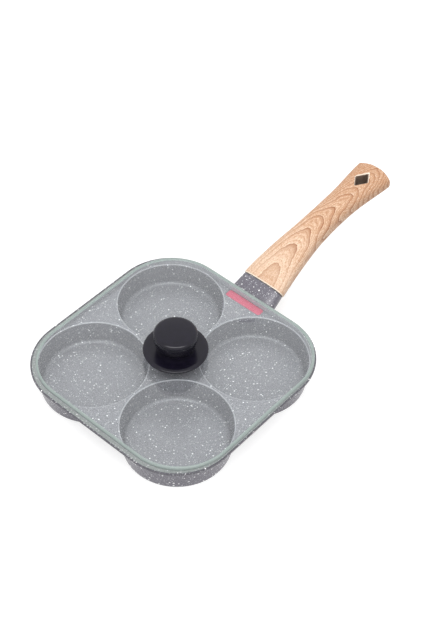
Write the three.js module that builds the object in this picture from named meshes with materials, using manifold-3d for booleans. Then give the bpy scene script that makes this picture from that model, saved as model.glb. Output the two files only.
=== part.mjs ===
// A square cast pan with four round cups, a flat glass lid with a knob, and a long wood-look handle.
// Millimetres, +Z up. The handle points along +X and the cup bases stand on z = 0.
import * as THREE from "three";
import { mergeVertices } from "three/addons/utils/BufferGeometryUtils.js";
import Module from "manifold-3d";

// Pan casting
const WEB_TOP = 21.2;
const WEB_THICK = 2;
const RIM_RISE = 5;
const RIM_EDGE = 1.8;
const RIM_FLARE = 4;
const RIM_WIDTH = 4.55;
const LIP_WIDTH = 1.2;
const SEAT_DEPTH = 0.6;
const EDGE_BREAK = 0.5;
const CUP_MOUTH_R = 45.5;
const CUP_MOUTH_ROUND = 0.8;
const CUP_TAPER = 3.9;
const CUP_FLOOR_FILLET = 3.6;
const CUP_FLOOR_THICK = 2.2;
const CUP_WALL = 1.9;
const CUP_BASE_BREAK = 2.4;
const CUP_TO_RIM = 0.2;
const CUP_BRIDGE = 1;

// Plain inlay strip on the web beside the handle
const LABEL_LENGTH = 37;
const LABEL_WIDTH = 7.4;
const LABEL_CORNER_R = 2;
const LABEL_THICK = 0.8;
const LABEL_GAP = 0.2;
const LABEL_INSET = 0.4;

// Handle line: it leaves the pan on a slope and levels out
const HANDLE_SLOPE = THREE.MathUtils.degToRad(24.8);
const COLLAR_REACH = 16.25;
const COLLAR_CENTRE_DROP = 3;
const HANDLE_REACH = 172.75;
const HANDLE_END_HEIGHT = 50.9;
const HANDLE_BEND_AT = 56;

// Half widths and half thicknesses of the grip at even steps from the collar to the end
const GRIP_HALF_WIDTHS = [20.8, 17.3, 13.5, 13.4, 18.2];
const GRIP_HALF_THICKS = [7.9, 8.8, 9.2, 8.8, 8.2];
const GRIP_END_R = 36;
const SECTION_SQUARENESS = 3;

// Collar between pan and grip, wider and flatter at the pan
const COLLAR_PAN_HALF_WIDTH = 22.2;
const COLLAR_PAN_HALF_THICK = 5.2;
const COLLAR_GRIP_HALF_WIDTH = 20.1;
const COLLAR_GRIP_HALF_THICK = 7.6;
const COLLAR_SEAM = 0.1;

// Cast tongue that carries the grip
const TONGUE_HALF_WIDTH = 10;
const TONGUE_HALF_THICK = 2.6;
const TONGUE_IN_GRIP = 22;
const TONGUE_GAP = 0.3;
const BOSS_HALF_WIDTH = 18;
const BOSS_LENGTH = 28;
const BOSS_FOOT = 10;
const BOSS_INSET = 1.4;

// Screw under the grip
const HANDLE_SCREW_R = 2;
const HANDLE_SCREW_HEAD_R = 4;
const HANDLE_SCREW_HEAD = 2.2;
const HANDLE_SCREW_FROM_COLLAR = 13;
const HANDLE_SCREW_SKIN = 1.5;
const HANDLE_SCREW_TIP_COVER = 0.6;
const SPRING_WASHER_R = 3.6;
const SPRING_WASHER_THICK = 1;
const SPRING_WASHER_SPLIT = 0.6;
const COUNTERBORE_GAP = 0.6;

// Diamond hang hole and its liner
const HOLE_FROM_END = 24;
const HOLE_HALF_LENGTH = 10.8;
const HOLE_HALF_WIDTH = 6.9;
const HOLE_CORNER_R = 1.6;
const LINER_WALL = 1;
const LINER_FIT = 0.02;

// Glass lid, resting a little off centre within the play of its seat
const GLASS_THICK = 4;
const GLASS_EDGE_BREAK = 0.8;
const GLASS_HOLE_R = 5;
const SEAT_PLAY = 1.6;
const LID_SHIFT_X = 1.1;
const LID_SHIFT_Y = -1.1;

// Knob, from the glass upwards
const GASKET_THICK = 0.8;
const GASKET_R = 12;
const SPIGOT_FIT = 0.2;
const SPIGOT_SHORT = 0.4;
const SKIRT_FOOT_R = 13;
const SKIRT_R = 26.4;
const SKIRT_EDGE = 2.2;
const SKIRT_UNDER = 6.2;
const SKIRT_FOOT_RISE = 1.2;
const SKIRT_HEIGHT = 12;
const NECK_R = 14.8;
const HEAD_R = 17.7;
const HEAD_HEIGHT = 16.4;
const HEAD_EDGE_ROUND = 2.4;
const HEAD_CROWN = 0.7;
const INSERT_R = 4;
const INSERT_LENGTH = 9;
const INSERT_COVER = 1.2;

// Knob fixing under the glass
const KNOB_SCREW_R = 2.5;
const KNOB_SCREW_HEAD_R = 4.6;
const KNOB_SCREW_HEAD = 2.2;
const LOWER_GASKET_R = 10;
const KNOB_WASHER_R = 8;
const KNOB_WASHER_THICK = 0.8;

// Shared fits of screws
const THREAD_FIT = 0.05;
const SHANK_GAP = 0.4;
const DRIVE_SLOT = 0.9;
const DRIVE_DEPTH = 1.2;
const DRIVE_SHARE = 0.62;

// Facets
const CUP_SEGMENTS = 48;
const ROUND_SEGMENTS = 36;
const SMALL_SEGMENTS = 24;
const ARC_STEPS = 4;
const CORNER_STEPS = 12;
const GRIP_STEPS = 24;
const SECTION_POINTS = 32;
const WELD = 1e-4;
const CUT_PAST = 1;
const CUT_FAR = 60;

// Derived places
const CUP_FLOOR_R = CUP_MOUTH_R - CUP_TAPER;
const CUP_AT = CUP_MOUTH_R + CUP_BRIDGE / 2;
const TRAY_HALF = CUP_AT + CUP_MOUTH_R + CUP_TO_RIM;
const PAN_HALF = TRAY_HALF + RIM_WIDTH;
const RIM_TOP = WEB_TOP + RIM_RISE;
const SEAT_Z = RIM_TOP - SEAT_DEPTH;
const SEAT_HALF = PAN_HALF - LIP_WIDTH;
const GLASS_HALF = SEAT_HALF - SEAT_PLAY;
const BOSS_FACE_X = PAN_HALF - BOSS_INSET;
const GRIP_ROOT_X = PAN_HALF + COLLAR_REACH;
const SLOPE_RUN = Math.cos(HANDLE_SLOPE);
const SLOPE_RISE = Math.sin(HANDLE_SLOPE);
const GRIP_ROOT_Z = WEB_TOP - COLLAR_CENTRE_DROP + COLLAR_REACH * Math.tan(HANDLE_SLOPE);
const GRIP_END_X = PAN_HALF + HANDLE_REACH;
const PAN_CENTRE_X = -HANDLE_REACH / 2;

const wasm = await Module();
wasm.setup();

// A three.js geometry as a closed solid, moved by a matrix when one is given
function solidFrom(geometry, matrix) {
  const bare = geometry.clone();
  bare.deleteAttribute("normal");
  bare.deleteAttribute("uv");
  if (matrix) {
    bare.applyMatrix4(matrix);
  }
  const merged = mergeVertices(bare, WELD);
  const mesh = new wasm.Mesh({
    numProp: 3,
    vertProperties: merged.attributes.position.array,
    triVerts: new Uint32Array(merged.index.array),
  });
  return new wasm.Manifold(mesh);
}

// A solid back as a three.js geometry
function geometryFrom(solid) {
  const mesh = solid.getMesh();
  const geometry = new THREE.BufferGeometry();
  geometry.setAttribute("position", new THREE.BufferAttribute(mesh.vertProperties, mesh.numProp));
  geometry.setIndex(new THREE.BufferAttribute(mesh.triVerts, 1));
  geometry.computeVertexNormals();
  return geometry;
}

function moved(x, y, z) {
  return new THREE.Matrix4().makeTranslation(x, y, z);
}

// The sloping frame at the grip's root: local +X runs out along the handle
function slopeFrame() {
  const turn = new THREE.Matrix4().makeRotationY(-HANDLE_SLOPE);
  return moved(GRIP_ROOT_X, 0, GRIP_ROOT_Z).multiply(turn);
}

// A box between two corners
function boxSolid(low, high, matrix) {
  const size = high.map((value, axis) => value - low[axis]);
  const geometry = new THREE.BoxGeometry(...size);
  geometry.translate(...low.map((value, axis) => value + size[axis] / 2));
  return solidFrom(geometry, matrix);
}

// A profile of [radius, height] pairs, listed upwards on the outside, turned about Z
function latheSolid(profile, segments, matrix) {
  const points = profile.map(([radius, height]) => new THREE.Vector2(radius, height));
  const geometry = new THREE.LatheGeometry(points, segments);
  geometry.rotateX(Math.PI / 2);
  return solidFrom(geometry, matrix);
}

// A flat shape extruded upwards from a height, with both rims broken when a bevel is given
function plateSolid(shape, bottom, top, bevel = 0) {
  const geometry = new THREE.ExtrudeGeometry(shape, {
    depth: top - bottom - 2 * bevel,
    bevelEnabled: bevel > 0,
    bevelThickness: bevel,
    bevelSize: bevel,
    bevelOffset: -bevel,
    bevelSegments: 1,
    curveSegments: CORNER_STEPS,
  });
  geometry.translate(0, 0, bottom + bevel);
  return solidFrom(geometry);
}

// A cylinder from bottom to top about Z
function rodSolid(radius, bottom, top, segments, matrix) {
  const geometry = new THREE.CylinderGeometry(radius, radius, top - bottom, segments);
  geometry.rotateX(Math.PI / 2);
  geometry.translate(0, 0, (top + bottom) / 2);
  return solidFrom(geometry, matrix);
}

// A flat ring about Z
function ringSolid(outer, inner, bottom, top, segments, matrix) {
  const hole = rodSolid(inner, bottom - CUT_PAST, top + CUT_PAST, segments, matrix);
  return rodSolid(outer, bottom, top, segments, matrix).subtract(hole);
}

// Points on a quarter arc about a centre, from one angle to another in degrees
function arcPoints(x, y, radius, from, to) {
  const start = THREE.MathUtils.degToRad(from);
  const end = THREE.MathUtils.degToRad(to);
  const points = new THREE.ArcCurve(x, y, radius, start, end, end < start).getPoints(ARC_STEPS);
  return points.map((point) => [point.x, point.y]);
}

// A square of half side h whose round corners are centred on the cups
function roundedSquare(h) {
  const shape = new THREE.Shape();
  const c = CUP_AT;
  const radius = h - c;
  shape.moveTo(-c, -h);
  shape.lineTo(c, -h);
  shape.absarc(c, -c, radius, -Math.PI / 2, 0, false);
  shape.lineTo(h, c);
  shape.absarc(c, c, radius, 0, Math.PI / 2, false);
  shape.lineTo(-c, h);
  shape.absarc(-c, c, radius, Math.PI / 2, Math.PI, false);
  shape.lineTo(-h, -c);
  shape.absarc(-c, -c, radius, Math.PI, 1.5 * Math.PI, false);
  return shape;
}

// A strip along Y with rounded corners
function roundedStrip(x, length, width, radius) {
  const shape = new THREE.Shape();
  const right = x + width / 2 - radius;
  const left = x - width / 2 + radius;
  const end = length / 2 - radius;
  shape.absarc(right, end, radius, 0, Math.PI / 2, false);
  shape.absarc(left, end, radius, Math.PI / 2, Math.PI, false);
  shape.absarc(left, -end, radius, Math.PI, 1.5 * Math.PI, false);
  shape.absarc(right, -end, radius, 1.5 * Math.PI, 2 * Math.PI, false);
  return shape;
}

// A diamond with softened corners, its long diagonal along X
function diamond(x, halfLength, halfWidth, cornerRadius) {
  const tips = [
    new THREE.Vector2(x + halfLength, 0),
    new THREE.Vector2(x, halfWidth),
    new THREE.Vector2(x - halfLength, 0),
    new THREE.Vector2(x, -halfWidth),
  ];
  const side = Math.hypot(halfLength, halfWidth);
  const share = cornerRadius / side;
  const shape = new THREE.Shape();
  tips.forEach((tip, i) => {
    const before = tips[(i + 3) % 4];
    const after = tips[(i + 1) % 4];
    const start = tip.clone().lerp(before, share);
    const end = tip.clone().lerp(after, share);
    if (i === 0) {
      shape.moveTo(start.x, start.y);
    } else {
      shape.lineTo(start.x, start.y);
    }
    shape.quadraticCurveTo(tip.x, tip.y, end.x, end.y);
  });
  shape.closePath();
  return shape;
}

// The handle's soft-cornered section, one unit to each side
function unitSection() {
  const points = [];
  const power = 2 / SECTION_SQUARENESS;
  for (let i = 0; i < SECTION_POINTS; i += 1) {
    const angle = (2 * Math.PI * i) / SECTION_POINTS;
    const across = Math.cos(angle);
    const up = Math.sin(angle);
    const u = Math.sign(across) * Math.abs(across) ** power;
    const v = Math.sign(up) * Math.abs(up) ** power;
    points.push(new THREE.Vector2(u, v));
  }
  return new THREE.Shape(points);
}

// The unit section swept by a rule that places each point (across, up, along)
function sweptSolid(steps, place, matrix) {
  const options = { depth: 1, steps, bevelEnabled: false };
  const geometry = new THREE.ExtrudeGeometry(unitSection(), options);
  const position = geometry.attributes.position;
  for (let i = 0; i < position.count; i += 1) {
    const [x, y, z] = place(position.getX(i), position.getY(i), position.getZ(i));
    position.setXYZ(i, x, y, z);
  }
  return solidFrom(geometry, matrix);
}

// A value read along evenly spaced stations
function along(values, t) {
  const points = values.map((value, i) => new THREE.Vector2(i, value));
  return new THREE.SplineCurve(points).getPoint(t).y;
}

// A round-headed screw with a cross drive, its head's underside at z = 0 and its shank upwards
function screwSolid(radius, headRadius, headThick, length, matrix) {
  const slotHalf = headRadius * DRIVE_SHARE;
  const low = -headThick - CUT_PAST;
  const high = DRIVE_DEPTH - headThick;
  const profile = [
    [0, -headThick],
    [headRadius * DRIVE_SHARE, -headThick],
    [headRadius, -headThick / 2],
    [headRadius, 0],
    [radius, 0],
    [radius, length],
    [0, length],
  ];
  const first = boxSolid([-slotHalf, -DRIVE_SLOT / 2, low], [slotHalf, DRIVE_SLOT / 2, high]);
  const second = boxSolid([-DRIVE_SLOT / 2, -slotHalf, low], [DRIVE_SLOT / 2, slotHalf, high]);
  const screw = latheSolid(profile, SMALL_SEGMENTS).subtract(first.add(second));
  return matrix ? solidFrom(geometryFrom(screw), matrix) : screw;
}

// Inside radius of a cup wall at a height above the base
function cupRadiusAt(height) {
  const share = (height - CUP_FLOOR_THICK) / (WEB_TOP - CUP_FLOOR_THICK);
  return THREE.MathUtils.lerp(CUP_FLOOR_R, CUP_MOUTH_R - CUP_MOUTH_ROUND, share);
}

function cupCentres() {
  return [
    [CUP_AT, CUP_AT],
    [-CUP_AT, CUP_AT],
    [-CUP_AT, -CUP_AT],
    [CUP_AT, -CUP_AT],
  ];
}

// Outside of one cup, from its flat base up into the web
function cupShell([x, y]) {
  const high = WEB_TOP - WEB_THICK / 2;
  const profile = [
    [0, 0],
    [CUP_FLOOR_R + CUP_WALL - CUP_BASE_BREAK, 0],
    [cupRadiusAt(CUP_BASE_BREAK + CUP_FLOOR_THICK) + CUP_WALL, CUP_BASE_BREAK],
    [cupRadiusAt(high) + CUP_WALL, high],
    [0, high],
  ];
  return latheSolid(profile, CUP_SEGMENTS, moved(x, y, 0));
}

// Hollow of one cup, with a filleted floor and a rounded mouth
function cupHollow([x, y]) {
  const filletX = CUP_FLOOR_R - CUP_FLOOR_FILLET;
  const filletZ = CUP_FLOOR_THICK + CUP_FLOOR_FILLET;
  const profile = [
    [0, CUP_FLOOR_THICK],
    ...arcPoints(filletX, filletZ, CUP_FLOOR_FILLET, -90, 0),
    [CUP_MOUTH_R - CUP_MOUTH_ROUND, WEB_TOP - CUP_MOUTH_ROUND],
    ...arcPoints(CUP_MOUTH_R, WEB_TOP - CUP_MOUTH_ROUND, CUP_MOUTH_ROUND, 180, 90).slice(1),
    [CUP_MOUTH_R, RIM_TOP + CUT_PAST],
    [0, RIM_TOP + CUT_PAST],
  ];
  return latheSolid(profile, CUP_SEGMENTS, moved(x, y, 0));
}

// Cast boss under the web and the tongue that leaves it on the handle's slope
function handleLug() {
  const high = WEB_TOP - WEB_THICK / 2;
  const low = WEB_TOP - COLLAR_CENTRE_DROP - COLLAR_PAN_HALF_THICK;
  const side = new THREE.Shape();
  side.moveTo(BOSS_FACE_X - BOSS_LENGTH, high);
  side.lineTo(BOSS_FACE_X, high);
  side.lineTo(BOSS_FACE_X, low);
  side.lineTo(BOSS_FACE_X - BOSS_FOOT, low);
  side.closePath();
  const gusset = new THREE.ExtrudeGeometry(side, { depth: 2 * BOSS_HALF_WIDTH, bevelEnabled: false });
  gusset.translate(0, 0, -BOSS_HALF_WIDTH);
  gusset.rotateX(Math.PI / 2);
  const tongueStart = -(COLLAR_REACH + BOSS_FOOT) / SLOPE_RUN;
  const tongue = boxSolid(
    [tongueStart, -TONGUE_HALF_WIDTH, -TONGUE_HALF_THICK],
    [TONGUE_IN_GRIP, TONGUE_HALF_WIDTH, TONGUE_HALF_THICK],
    slopeFrame(),
  );
  return solidFrom(gusset).add(tongue);
}

// The handle screw's own frame: its head's underside on the washer, shank up into the tongue
function handleScrewFrame() {
  const seat = -TONGUE_HALF_THICK - TONGUE_GAP - HANDLE_SCREW_SKIN;
  return slopeFrame().multiply(moved(HANDLE_SCREW_FROM_COLLAR, 0, seat));
}

function handleScrewLength() {
  const seatToTongue = HANDLE_SCREW_SKIN + TONGUE_GAP;
  return seatToTongue + 2 * TONGUE_HALF_THICK - HANDLE_SCREW_TIP_COVER;
}

// Outer form of the tray: it flares from the web's underside to an upright rim edge
function trayForm() {
  const low = WEB_TOP - WEB_THICK;
  const flareTop = RIM_TOP - RIM_EDGE;
  const geometry = new THREE.ExtrudeGeometry(roundedSquare(PAN_HALF), {
    depth: RIM_EDGE + CUT_PAST,
    bevelThickness: flareTop - low,
    bevelSize: RIM_FLARE,
    bevelOffset: -RIM_FLARE,
    bevelSegments: 1,
    curveSegments: CORNER_STEPS,
  });
  geometry.translate(0, 0, flareTop);
  const far = PAN_HALF + CUT_FAR;
  const above = boxSolid([-far, -far, RIM_TOP], [far, far, RIM_TOP + CUT_FAR]);
  return solidFrom(geometry).subtract(above);
}

// Pan casting: web, rim with the lid's seat, cups and handle lug
function panBody() {
  let body = trayForm().add(handleLug());
  for (const centre of cupCentres()) {
    body = body.add(cupShell(centre));
  }
  body = body.subtract(plateSolid(roundedSquare(SEAT_HALF), SEAT_Z, RIM_TOP + CUT_PAST));
  body = body.subtract(plateSolid(roundedSquare(TRAY_HALF), WEB_TOP, RIM_TOP + CUT_PAST));
  for (const centre of cupCentres()) {
    body = body.subtract(cupHollow(centre));
  }
  body = body.subtract(plateSolid(labelOutline(LABEL_GAP), WEB_TOP - LABEL_THICK, RIM_TOP));
  const threadHole = rodSolid(
    HANDLE_SCREW_R + THREAD_FIT,
    0,
    handleScrewLength() + THREAD_FIT,
    SMALL_SEGMENTS,
    handleScrewFrame(),
  );
  return body.subtract(threadHole);
}

function labelX() {
  return TRAY_HALF - LABEL_INSET - LABEL_WIDTH / 2;
}

// Outline of the inlay strip, wider by a gap all round
function labelOutline(gap) {
  const length = LABEL_LENGTH + 2 * gap;
  const width = LABEL_WIDTH + 2 * gap;
  return roundedStrip(labelX(), length, width, LABEL_CORNER_R + gap);
}

function panLabel() {
  return plateSolid(labelOutline(0), WEB_TOP - LABEL_THICK, WEB_TOP);
}

// The tongue's clearance space through the collar and into the grip
function tongueSpace() {
  const wide = TONGUE_HALF_WIDTH + TONGUE_GAP;
  const thick = TONGUE_HALF_THICK + TONGUE_GAP;
  return boxSolid(
    [-CUT_FAR, -wide, -thick],
    [TONGUE_IN_GRIP + TONGUE_GAP, wide, thick],
    slopeFrame(),
  );
}

// Flame guard collar, cut flat where it meets the pan
function handleCollar() {
  const start = -(COLLAR_REACH + 2 * COLLAR_GRIP_HALF_THICK) / SLOPE_RUN;
  const panSide = -COLLAR_REACH / SLOPE_RUN;
  const place = (across, up, t) => {
    const x = THREE.MathUtils.lerp(start, -COLLAR_SEAM, t);
    const share = x / panSide;
    const wide = THREE.MathUtils.lerp(COLLAR_GRIP_HALF_WIDTH, COLLAR_PAN_HALF_WIDTH, share);
    const thick = THREE.MathUtils.lerp(COLLAR_GRIP_HALF_THICK, COLLAR_PAN_HALF_THICK, share);
    return [x, across * wide, up * thick];
  };
  const panSpace = boxSolid([0, -CUT_FAR, -CUT_FAR], [BOSS_FACE_X, CUT_FAR, CUT_FAR]);
  const sleeve = sweptSolid(1, place, slopeFrame()).subtract(panSpace);
  return sleeve.subtract(trayForm()).subtract(tongueSpace());
}

// Centre line of the grip in the XZ plane
function gripLine() {
  const root = new THREE.Vector2(GRIP_ROOT_X, GRIP_ROOT_Z);
  const out = new THREE.Vector2(SLOPE_RUN, SLOPE_RISE);
  const bend = root.clone().addScaledVector(out, HANDLE_BEND_AT);
  const end = new THREE.Vector2(GRIP_END_X, HANDLE_END_HEIGHT);
  return new THREE.QuadraticBezierCurve(root, bend, end);
}

// Full grip form before its holes are cut, with a round end
function gripForm() {
  const line = gripLine();
  const place = (across, up, t) => {
    const centre = line.getPoint(t);
    const tangent = line.getTangent(t);
    const wide = along(GRIP_HALF_WIDTHS, t);
    const thick = along(GRIP_HALF_THICKS, t) * up;
    return [centre.x - tangent.y * thick, across * wide, centre.y + tangent.x * thick];
  };
  const endX = GRIP_END_X - GRIP_END_R;
  const endBlock = boxSolid([endX, -CUT_FAR, 0], [GRIP_END_X + CUT_FAR, CUT_FAR, 2 * CUT_FAR]);
  const endRound = rodSolid(GRIP_END_R, -CUT_PAST, 2 * CUT_FAR + CUT_PAST, CUP_SEGMENTS, moved(endX, 0, 0));
  return sweptSolid(GRIP_STEPS, place).subtract(endBlock.subtract(endRound));
}

function holeX() {
  return GRIP_END_X - HOLE_FROM_END;
}

// A diamond column through the grip, smaller by an inset
function holeColumn(inset) {
  const share = 1 - inset / HOLE_HALF_WIDTH;
  const shape = diamond(holeX(), HOLE_HALF_LENGTH * share, HOLE_HALF_WIDTH * share, HOLE_CORNER_R);
  return plateSolid(shape, 0, 2 * CUT_FAR);
}

// Wood-look grip with a socket for the tongue, a screw recess below and the hang hole
function handleGrip() {
  const frame = handleScrewFrame();
  const boreR = HANDLE_SCREW_HEAD_R + COUNTERBORE_GAP;
  const bore = rodSolid(boreR, -CUT_FAR / 2, 0, SMALL_SEGMENTS, frame);
  const shankR = HANDLE_SCREW_R + SHANK_GAP;
  const shank = rodSolid(shankR, -CUT_PAST, handleScrewLength(), SMALL_SEGMENTS, frame);
  return gripForm()
    .subtract(tongueSpace())
    .subtract(bore)
    .subtract(shank)
    .subtract(holeColumn(0));
}

function hangHoleLiner() {
  return gripForm().intersect(holeColumn(LINER_FIT).subtract(holeColumn(LINER_WALL)));
}

function handleScrew() {
  const frame = handleScrewFrame().multiply(moved(0, 0, -SPRING_WASHER_THICK));
  const length = handleScrewLength() + SPRING_WASHER_THICK;
  return screwSolid(HANDLE_SCREW_R, HANDLE_SCREW_HEAD_R, HANDLE_SCREW_HEAD, length, frame);
}

function handleSpringWasher() {
  const inner = HANDLE_SCREW_R + SHANK_GAP;
  const frame = handleScrewFrame();
  const ring = ringSolid(SPRING_WASHER_R, inner, -SPRING_WASHER_THICK, 0, SMALL_SEGMENTS, frame);
  const half = SPRING_WASHER_SPLIT / 2;
  const split = boxSolid([0, -half, -CUT_PAST - SPRING_WASHER_THICK], [CUT_FAR, half, CUT_PAST], frame);
  return ring.subtract(split);
}

// Lid pieces below are built with the glass's top face at z = 0
function lidGlass() {
  const pane = plateSolid(roundedSquare(GLASS_HALF), -GLASS_THICK, 0, GLASS_EDGE_BREAK);
  return pane.subtract(rodSolid(GLASS_HOLE_R, -GLASS_THICK - CUT_PAST, CUT_PAST, SMALL_SEGMENTS));
}

// Upper gasket, with a spigot that centres the screw in the glass
function knobUpperGasket() {
  const spigotR = GLASS_HOLE_R - SPIGOT_FIT;
  const disc = rodSolid(GASKET_R, 0, GASKET_THICK, ROUND_SEGMENTS);
  const spigot = rodSolid(spigotR, SPIGOT_SHORT - GLASS_THICK, GASKET_THICK, SMALL_SEGMENTS);
  const hole = rodSolid(KNOB_SCREW_R + SHANK_GAP, -GLASS_THICK, CUT_FAR, SMALL_SEGMENTS);
  return disc.add(spigot).subtract(hole);
}

function knobLowerGasket() {
  const top = -GLASS_THICK;
  return ringSolid(LOWER_GASKET_R, KNOB_SCREW_R + SHANK_GAP, top - GASKET_THICK, top, ROUND_SEGMENTS);
}

function knobWasher() {
  const top = -GLASS_THICK - GASKET_THICK;
  return ringSolid(KNOB_WASHER_R, KNOB_SCREW_R + SHANK_GAP, top - KNOB_WASHER_THICK, top, SMALL_SEGMENTS);
}

function skirtTop() {
  return GASKET_THICK + SKIRT_HEIGHT;
}

function headTop() {
  return skirtTop() + HEAD_HEIGHT;
}

// Wide skirt that keeps fingers off the glass
function knobSkirt() {
  const edgeLow = GASKET_THICK + SKIRT_UNDER;
  const edgeHigh = edgeLow + SKIRT_EDGE;
  const shoulder = new THREE.QuadraticBezierCurve(
    new THREE.Vector2(SKIRT_R - EDGE_BREAK, edgeHigh),
    new THREE.Vector2(NECK_R, edgeHigh),
    new THREE.Vector2(NECK_R, skirtTop()),
  );
  const profile = [
    [0, GASKET_THICK],
    [SKIRT_FOOT_R, GASKET_THICK],
    [SKIRT_FOOT_R, GASKET_THICK + SKIRT_FOOT_RISE],
    [SKIRT_R - EDGE_BREAK, edgeLow],
    [SKIRT_R, edgeLow + EDGE_BREAK],
    [SKIRT_R, edgeHigh - EDGE_BREAK],
    ...shoulder.getPoints(2 * ARC_STEPS).map((point) => [point.x, point.y]),
    [0, skirtTop()],
  ];
  const hole = rodSolid(KNOB_SCREW_R + SHANK_GAP, -CUT_PAST, CUT_FAR, SMALL_SEGMENTS);
  return latheSolid(profile, ROUND_SEGMENTS).subtract(hole);
}

// Head that flares from the neck to a softly crowned top
function knobHead() {
  const wideZ = headTop() - HEAD_CROWN - HEAD_EDGE_ROUND;
  const flare = new THREE.QuadraticBezierCurve(
    new THREE.Vector2(NECK_R, skirtTop()),
    new THREE.Vector2(NECK_R, (skirtTop() + wideZ) / 2),
    new THREE.Vector2(HEAD_R, wideZ),
  );
  const profile = [
    [0, skirtTop()],
    ...flare.getPoints(ARC_STEPS).map((point) => [point.x, point.y]),
    ...arcPoints(HEAD_R - HEAD_EDGE_ROUND, wideZ, HEAD_EDGE_ROUND, 0, 90).slice(1),
    [0, headTop()],
  ];
  const socketTop = insertTop();
  const socket = rodSolid(INSERT_R, skirtTop() - CUT_PAST, socketTop, SMALL_SEGMENTS);
  const shank = rodSolid(KNOB_SCREW_R + THREAD_FIT, skirtTop(), socketTop + INSERT_COVER, SMALL_SEGMENTS);
  return latheSolid(profile, ROUND_SEGMENTS).subtract(socket).subtract(shank);
}

function insertTop() {
  return skirtTop() + INSERT_LENGTH;
}

// Brass insert moulded into the head
function knobInsert() {
  return ringSolid(INSERT_R, KNOB_SCREW_R + THREAD_FIT, skirtTop(), insertTop(), SMALL_SEGMENTS);
}

function knobScrew() {
  const seat = -GLASS_THICK - GASKET_THICK - KNOB_WASHER_THICK;
  const screw = screwSolid(KNOB_SCREW_R, KNOB_SCREW_HEAD_R, KNOB_SCREW_HEAD, insertTop() - seat);
  return solidFrom(geometryFrom(screw), moved(0, 0, seat));
}

// Materials
function finish(color, roughness, metalness, more = {}) {
  return new THREE.MeshStandardMaterial({ color, roughness, metalness, ...more });
}

function speckledCoating() {
  return finish(0x85868c, 0.5, 0.2);
}

function pinkInlay() {
  return finish(0xd77d91, 0.45, 0);
}

function woodLook() {
  return finish(0xe6c4a0, 0.5, 0);
}

function darkPlastic() {
  return finish(0x463c37, 0.6, 0);
}

function satinBlack() {
  return finish(0x2a2a2c, 0.4, 0);
}

function clearGlass() {
  return finish(0xcfe0dc, 0.05, 0, { transparent: true, opacity: 0.35 });
}

function siliconeRubber() {
  return finish(0x3a3a3a, 0.8, 0);
}

function zincSteel() {
  return finish(0xb4b6b8, 0.35, 0.9);
}

function brassMetal() {
  return finish(0xb89a55, 0.35, 0.9);
}

function addMesh(group, name, solid, material) {
  const mesh = new THREE.Mesh(geometryFrom(solid), material);
  mesh.name = name;
  group.add(mesh);
}

// Assembly: the pan with its handle, then the lid on its seat
const eggPan = new THREE.Group();
const pan = new THREE.Group();
pan.position.x = PAN_CENTRE_X;
eggPan.add(pan);
addMesh(pan, "pan_body", panBody(), speckledCoating());
addMesh(pan, "pan_label", panLabel(), pinkInlay());
addMesh(pan, "handle_collar", handleCollar(), speckledCoating());
addMesh(pan, "handle_grip", handleGrip(), woodLook());
addMesh(pan, "hang_hole_liner", hangHoleLiner(), darkPlastic());
addMesh(pan, "handle_screw", handleScrew(), zincSteel());
addMesh(pan, "handle_spring_washer", handleSpringWasher(), zincSteel());

const lid = new THREE.Group();
lid.position.set(LID_SHIFT_X, LID_SHIFT_Y, SEAT_Z + GLASS_THICK);
pan.add(lid);
addMesh(lid, "lid_glass", lidGlass(), clearGlass());
addMesh(lid, "knob_upper_gasket", knobUpperGasket(), siliconeRubber());
addMesh(lid, "knob_lower_gasket", knobLowerGasket(), siliconeRubber());
addMesh(lid, "knob_washer", knobWasher(), zincSteel());
addMesh(lid, "knob_screw", knobScrew(), zincSteel());
addMesh(lid, "knob_skirt", knobSkirt(), satinBlack());
addMesh(lid, "knob_head", knobHead(), satinBlack());
addMesh(lid, "knob_insert", knobInsert(), brassMetal());

export default eggPan;
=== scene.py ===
"""Looks of a four-cup egg pan with a glass lid: meshes, finishes, light and camera."""

import math

import bmesh
import bpy
from mathutils import Matrix, Vector


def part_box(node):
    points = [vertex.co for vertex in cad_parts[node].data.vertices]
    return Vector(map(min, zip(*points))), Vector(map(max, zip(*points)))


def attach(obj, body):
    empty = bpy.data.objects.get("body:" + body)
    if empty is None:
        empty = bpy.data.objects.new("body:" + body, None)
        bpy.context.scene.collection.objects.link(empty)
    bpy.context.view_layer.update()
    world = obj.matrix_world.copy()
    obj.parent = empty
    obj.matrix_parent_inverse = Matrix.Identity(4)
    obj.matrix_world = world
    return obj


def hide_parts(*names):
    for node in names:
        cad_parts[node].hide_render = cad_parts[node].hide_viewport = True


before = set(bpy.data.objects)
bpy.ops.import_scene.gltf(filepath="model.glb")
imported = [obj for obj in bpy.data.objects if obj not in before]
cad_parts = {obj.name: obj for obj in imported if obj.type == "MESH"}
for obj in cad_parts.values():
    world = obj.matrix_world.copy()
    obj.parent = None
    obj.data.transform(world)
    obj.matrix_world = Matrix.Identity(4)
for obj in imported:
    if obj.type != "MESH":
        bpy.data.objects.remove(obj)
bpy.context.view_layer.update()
MM = 0.001

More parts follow.
